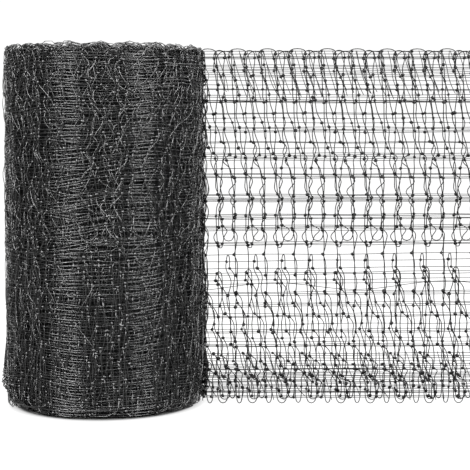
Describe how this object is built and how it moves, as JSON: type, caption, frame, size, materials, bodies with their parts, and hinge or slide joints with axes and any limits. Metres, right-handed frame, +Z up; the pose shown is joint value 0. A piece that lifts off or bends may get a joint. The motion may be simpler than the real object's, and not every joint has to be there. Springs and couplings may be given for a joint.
{
  "type": "roll of bird netting with its loose end",
  "caption": "Folded and wound roll of black plastic bird netting, standing on one end, with its free end drawn out to one side.",
  "frame": {"origin": "on the roll's axis, at its flat lower end", "axes": "+Z up along the roll's axis, +X the way the loose end runs out from the roll, +Y away from the picture's viewer"},
  "size_m": [0.3121, 0.1241, 0.2282],
  "materials": {
    "black_net": "thin glossy black polypropylene strands with flat knots"
  },
  "bodies": {
    "root": {"net_roll": "black_net", "loose_end": "black_net"}
  },
  "joints": []
}
